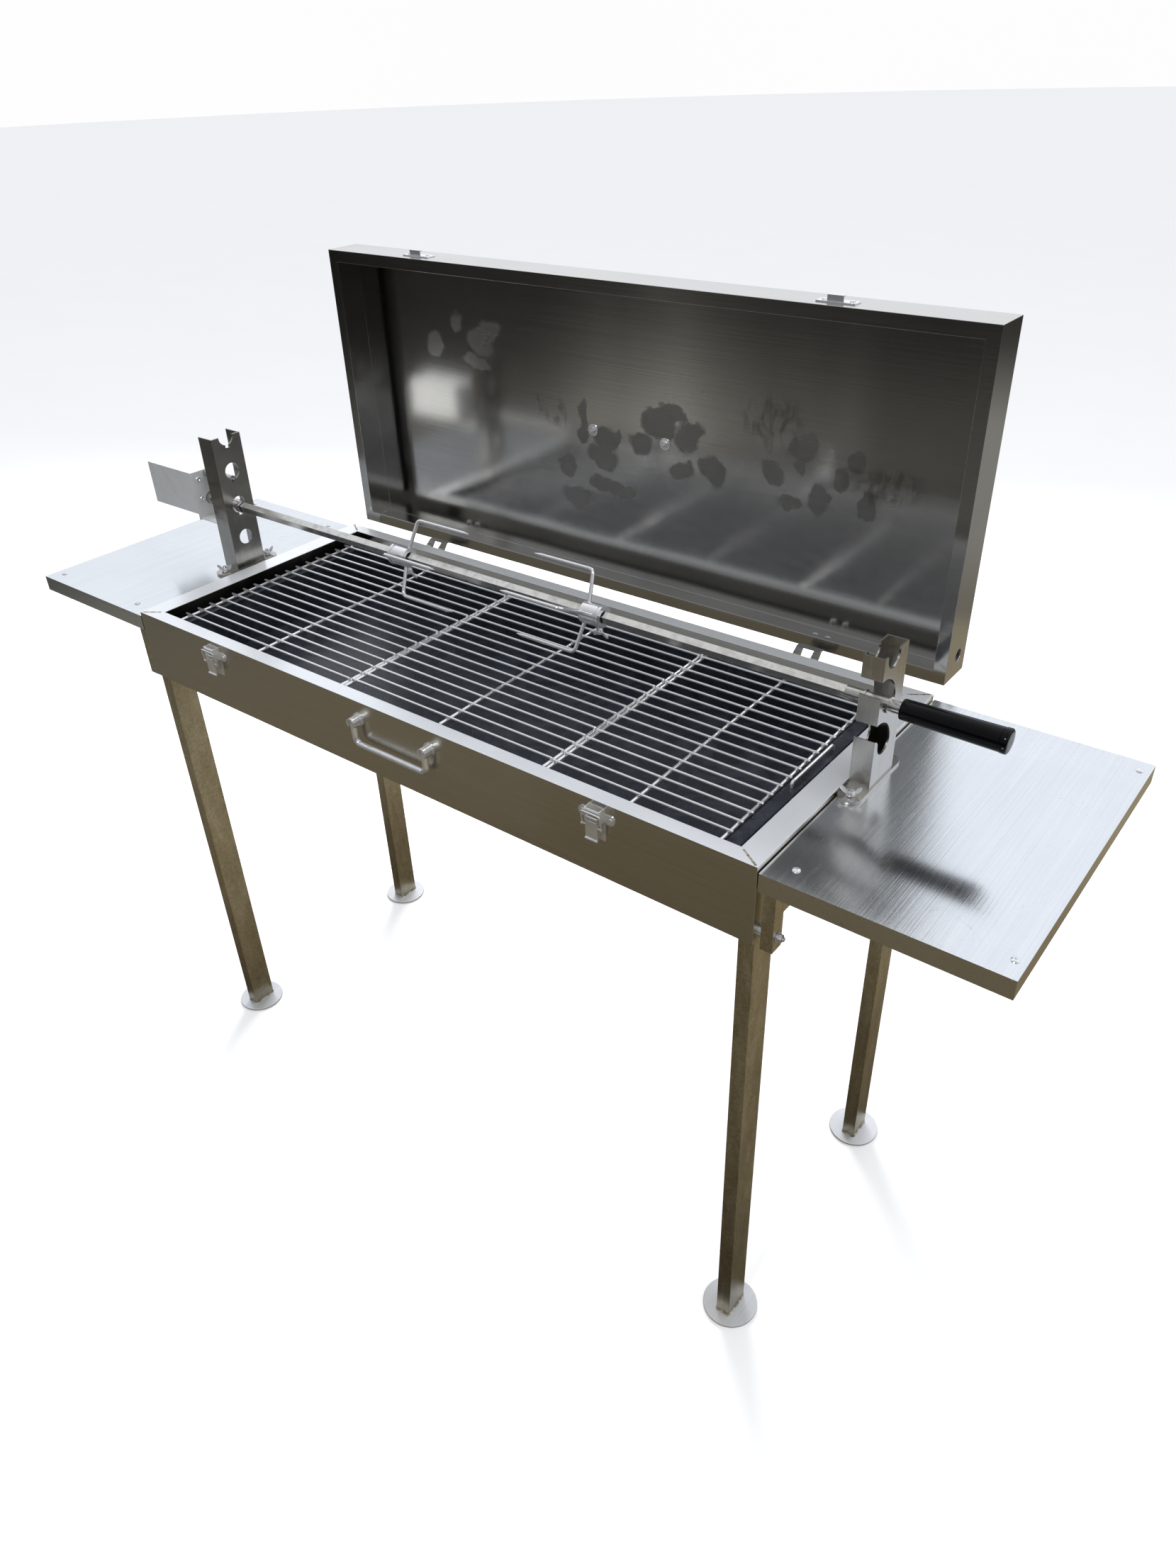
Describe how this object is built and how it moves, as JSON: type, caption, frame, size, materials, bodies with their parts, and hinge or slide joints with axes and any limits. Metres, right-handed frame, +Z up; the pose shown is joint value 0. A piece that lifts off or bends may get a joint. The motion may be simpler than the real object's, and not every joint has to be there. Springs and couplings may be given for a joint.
{
  "type": "portable charcoal spit roaster",
  "caption": "Folding sheet-metal charcoal firebox on legs, with hinged lid, side tables, wire grill and a motor-driven square spit with forks.",
  "frame": {"origin": "centre of the bounding box at floor level, under the middle of the firebox", "axes": "+X along the spit toward its handle, -Y toward the front with the carrying handle, +Z up"},
  "size_m": [1.5, 0.516, 1.1755],
  "materials": {
    "stainless_sheet": "brushed",
    "polished_sheet": "polished",
    "galvanised": "galvanised, satin",
    "black_enamel": "gloss enamel",
    "white_paint": "powder coat",
    "black_grip": "gloss",
    "black_plastic": "matte",
    "cast_metal": "cast",
    "chrome_wire": "bright",
    "bright_steel": "bright drawn",
    "chrome_hardware": "bright",
    "zinc_hardware": "zinc plated"
  },
  "bodies": {
    "stand": {"firebox": "stainless_sheet", "tray_ledges": "galvanised", "charcoal_tray": "black_enamel", "leg_front_left": "galvanised", "leg_front_right": "galvanised", "leg_back_left": "galvanised", "leg_back_right": "galvanised", "foot_front_left": "galvanised", "foot_front_right": "galvanised", "foot_back_left": "galvanised", "foot_back_right": "galvanised", "leg_plugs": "galvanised", "table_left": "stainless_sheet", "table_right": "stainless_sheet", "table_frame_left": "galvanised", "table_frame_right": "galvanised", "table_screws": "zinc_hardware", "bracket_bolts": "zinc_hardware", "post_left": "polished_sheet", "post_base_left": "polished_sheet", "post_right": "polished_sheet", "post_base_right": "polished_sheet", "post_studs": "zinc_hardware", "hinge_lower": "zinc_hardware", "front_handle_posts": "chrome_hardware", "latch_base_left": "chrome_hardware", "latch_base_right": "chrome_hardware", "motor_housing": "white_paint", "motor_plate": "white_paint", "motor_stud": "zinc_hardware", "motor_screws": "zinc_hardware", "motor_core": "cast_metal", "motor_inlet": "black_plastic"},
    "lid": {"lid_shell": "stainless_sheet", "lid_keepers": "chrome_hardware", "hinge_upper": "zinc_hardware", "lid_nuts": "zinc_hardware", "lid_handle_posts": "chrome_hardware"},
    "lid_bail": {"lid_bail": "chrome_hardware"},
    "front_bail": {"front_bail": "chrome_hardware"},
    "latch_lever_left": {"latch_lever_left": "chrome_hardware"},
    "latch_lever_right": {"latch_lever_right": "chrome_hardware"},
    "latch_loop_left": {"latch_loop_left": "chrome_hardware"},
    "latch_loop_right": {"latch_loop_right": "chrome_hardware"},
    "spit": {"spit_rod": "bright_steel", "spit_handle": "black_grip"},
    "fork_left": {"fork_left": "bright_steel"},
    "fork_right": {"fork_right": "bright_steel"},
    "fork_screw_left": {"fork_screw_left": "bright_steel"},
    "fork_screw_right": {"fork_screw_right": "bright_steel"},
    "spindle": {"motor_spindle": "bright_steel"},
    "rocker": {"motor_rocker": "black_plastic"},
    "grill_left": {"grill_left": "chrome_wire"},
    "grill_mid": {"grill_mid": "chrome_wire"},
    "grill_right": {"grill_right": "chrome_wire"},
    "tray_handle": {"tray_handle": "chrome_hardware"},
    "wing_nut_left_front": {"wing_nut_left_front": "chrome_hardware"},
    "wing_nut_left_back": {"wing_nut_left_back": "chrome_hardware"},
    "wing_nut_right_front": {"wing_nut_right_front": "chrome_hardware"},
    "wing_nut_right_back": {"wing_nut_right_back": "chrome_hardware"}
  },
  "joints": [
    {"name": "lid_hinge", "type": "hinge", "parent": "stand", "child": "lid", "pos_m": [0, 0.17375, 0.74475], "axis": [1, 0, 0], "range_deg": [0, 60]},
    {"name": "lid_bail_swing", "type": "hinge", "parent": "lid", "child": "lid_bail", "pos_m": [-0.002, 0.253, 0.961], "axis": [1, 0, 0], "range_deg": [0, 90]},
    {"name": "front_bail_swing", "type": "hinge", "parent": "stand", "child": "front_bail", "pos_m": [0.0037, -0.253, 0.735], "axis": [-1, 0, 0], "range_deg": [0, 90]},
    {"name": "latch_left_lever", "type": "hinge", "parent": "stand", "child": "latch_lever_left", "pos_m": [-0.335, -0.2506, 0.741], "axis": [-1, 0, 0], "range_deg": [0, 110]},
    {"name": "latch_left_loop", "type": "hinge", "parent": "latch_lever_left", "child": "latch_loop_left", "pos_m": [-0.335, -0.2532, 0.733], "axis": [-1, 0, 0], "range_deg": [-110, 0]},
    {"name": "latch_right_lever", "type": "hinge", "parent": "stand", "child": "latch_lever_right", "pos_m": [0.308, -0.2506, 0.741], "axis": [-1, 0, 0], "range_deg": [0, 110]},
    {"name": "latch_right_loop", "type": "hinge", "parent": "latch_lever_right", "child": "latch_loop_right", "pos_m": [0.308, -0.2532, 0.733], "axis": [-1, 0, 0], "range_deg": [-110, 0]},
    {"name": "spit_spin", "type": "hinge", "parent": "stand", "child": "spit", "pos_m": [0, -0.04, 0.8495], "axis": [1, 0, 0], "continuous": true},
    {"name": "spindle_spin", "type": "hinge", "parent": "stand", "child": "spindle", "pos_m": [-0.55, -0.04, 0.8495], "axis": [1, 0, 0], "continuous": true},
    {"name": "fork_left_slide", "type": "slide", "parent": "spit", "child": "fork_left", "axis": [1, 0, 0], "range_m": [-0.27, 0.05]},
    {"name": "fork_right_slide", "type": "slide", "parent": "spit", "child": "fork_right", "axis": [1, 0, 0], "range_m": [-0.05, 0.29]},
    {"name": "fork_left_screw", "type": "hinge", "parent": "fork_left", "child": "fork_screw_left", "pos_m": [-0.169, -0.04, 0.8495], "axis": [0, 0.342, -0.9397], "continuous": true},
    {"name": "fork_right_screw", "type": "hinge", "parent": "fork_right", "child": "fork_screw_right", "pos_m": [0.152, -0.04, 0.8495], "axis": [0, 0.342, -0.9397], "continuous": true},
    {"name": "rocker_tilt", "type": "hinge", "parent": "stand", "child": "rocker", "pos_m": [-0.684, -0.04, 0.867], "axis": [0, 1, 0], "range_deg": [0, 8]},
    {"name": "grill_left_lift", "type": "slide", "parent": "stand", "child": "grill_left", "axis": [0, 0, 1], "range_m": [0, 0.04]},
    {"name": "grill_mid_lift", "type": "slide", "parent": "stand", "child": "grill_mid", "axis": [0, 0, 1], "range_m": [0, 0.04]},
    {"name": "grill_right_lift", "type": "slide", "parent": "stand", "child": "grill_right", "axis": [0, 0, 1], "range_m": [0, 0.04]},
    {"name": "tray_handle_lift", "type": "slide", "parent": "stand", "child": "tray_handle", "axis": [0, 0, 1], "range_m": [0, 0.023]},
    {"name": "wing_nut_left_front_turn", "type": "hinge", "parent": "stand", "child": "wing_nut_left_front", "pos_m": [-0.5232, -0.08, 0.757], "axis": [0, 0, 1], "continuous": true},
    {"name": "wing_nut_left_back_turn", "type": "hinge", "parent": "stand", "child": "wing_nut_left_back", "pos_m": [-0.5232, 0, 0.757], "axis": [0, 0, 1], "continuous": true},
    {"name": "wing_nut_right_front_turn", "type": "hinge", "parent": "stand", "child": "wing_nut_right_front", "pos_m": [0.51375, -0.08, 0.757], "axis": [0, 0, 1], "continuous": true},
    {"name": "wing_nut_right_back_turn", "type": "hinge", "parent": "stand", "child": "wing_nut_right_back", "pos_m": [0.51375, 0.005, 0.757], "axis": [0, 0, 1], "continuous": true}
  ],
  "couplings": [
    {"joint": "latch_left_loop", "follows": "latch_left_lever", "ratio": -1},
    {"joint": "latch_right_loop", "follows": "latch_right_lever", "ratio": -1},
    {"joint": "spindle_spin", "follows": "spit_spin", "ratio": 1}
  ]
}
